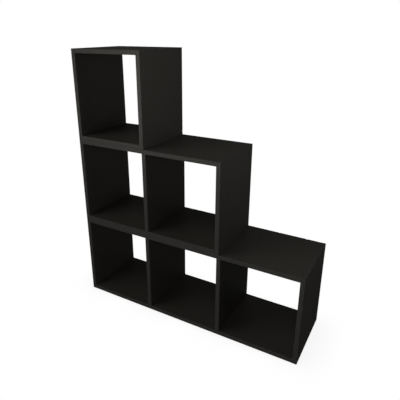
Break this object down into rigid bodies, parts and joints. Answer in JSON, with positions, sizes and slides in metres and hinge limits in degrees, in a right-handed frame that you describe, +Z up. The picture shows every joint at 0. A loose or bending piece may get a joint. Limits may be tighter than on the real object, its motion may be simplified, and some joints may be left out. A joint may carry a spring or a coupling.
{
  "type": "staircase bookshelf",
  "caption": "Open black bookshelf of stacked box carcasses that climb in steps to one side, with open backs, for books and files or as a room divider.",
  "frame": {"origin": "on the floor, at the middle of the lower carcass", "axes": "+X to the right, the way the steps go down; +Y from the front to the back; +Z up"},
  "size_m": [1.05, 0.312, 1.161],
  "materials": {
    "black_board": "black melamine-faced chipboard, satin, with a fine pearl texture",
    "black_edging": "black plastic edging, satin",
    "black_cover": "black moulded plastic",
    "cam_zinc": "plain zinc casting",
    "bolt_steel": "zinc-plated steel",
    "screw_steel": "blackened steel",
    "dowel_beech": "bare beech"
  },
  "bodies": {
    "root": {"lower_left_side": "black_board", "lower_left_side_edging": "black_edging", "lower_right_side": "black_board", "lower_right_side_edging": "black_edging", "lower_bottom_panel": "black_board", "lower_bottom_panel_edging": "black_edging", "lower_top_panel": "black_board", "lower_top_panel_edging": "black_edging", "lower_left_divider": "black_board", "lower_left_divider_edging": "black_edging", "lower_right_divider": "black_board", "lower_right_divider_edging": "black_edging", "middle_left_side": "black_board", "middle_left_side_edging": "black_edging", "middle_right_side": "black_board", "middle_right_side_edging": "black_edging", "middle_bottom_panel": "black_board", "middle_bottom_panel_edging": "black_edging", "middle_top_panel": "black_board", "middle_top_panel_edging": "black_edging", "middle_divider": "black_board", "middle_divider_edging": "black_edging", "upper_left_side": "black_board", "upper_left_side_edging": "black_edging", "upper_right_side": "black_board", "upper_right_side_edging": "black_edging", "upper_bottom_panel": "black_board", "upper_bottom_panel_edging": "black_edging", "upper_top_panel": "black_board", "upper_top_panel_edging": "black_edging", "lower_cam_bolts": "bolt_steel", "lower_cams": "cam_zinc", "lower_cam_covers": "black_cover", "lower_dowels": "dowel_beech", "middle_cam_bolts": "bolt_steel", "middle_cams": "cam_zinc", "middle_cam_covers": "black_cover", "middle_dowels": "dowel_beech", "upper_cam_bolts": "bolt_steel", "upper_cams": "cam_zinc", "upper_cam_covers": "black_cover", "upper_dowels": "dowel_beech", "lower_stacking_screws": "screw_steel", "middle_stacking_screws": "screw_steel"}
  },
  "joints": []
}
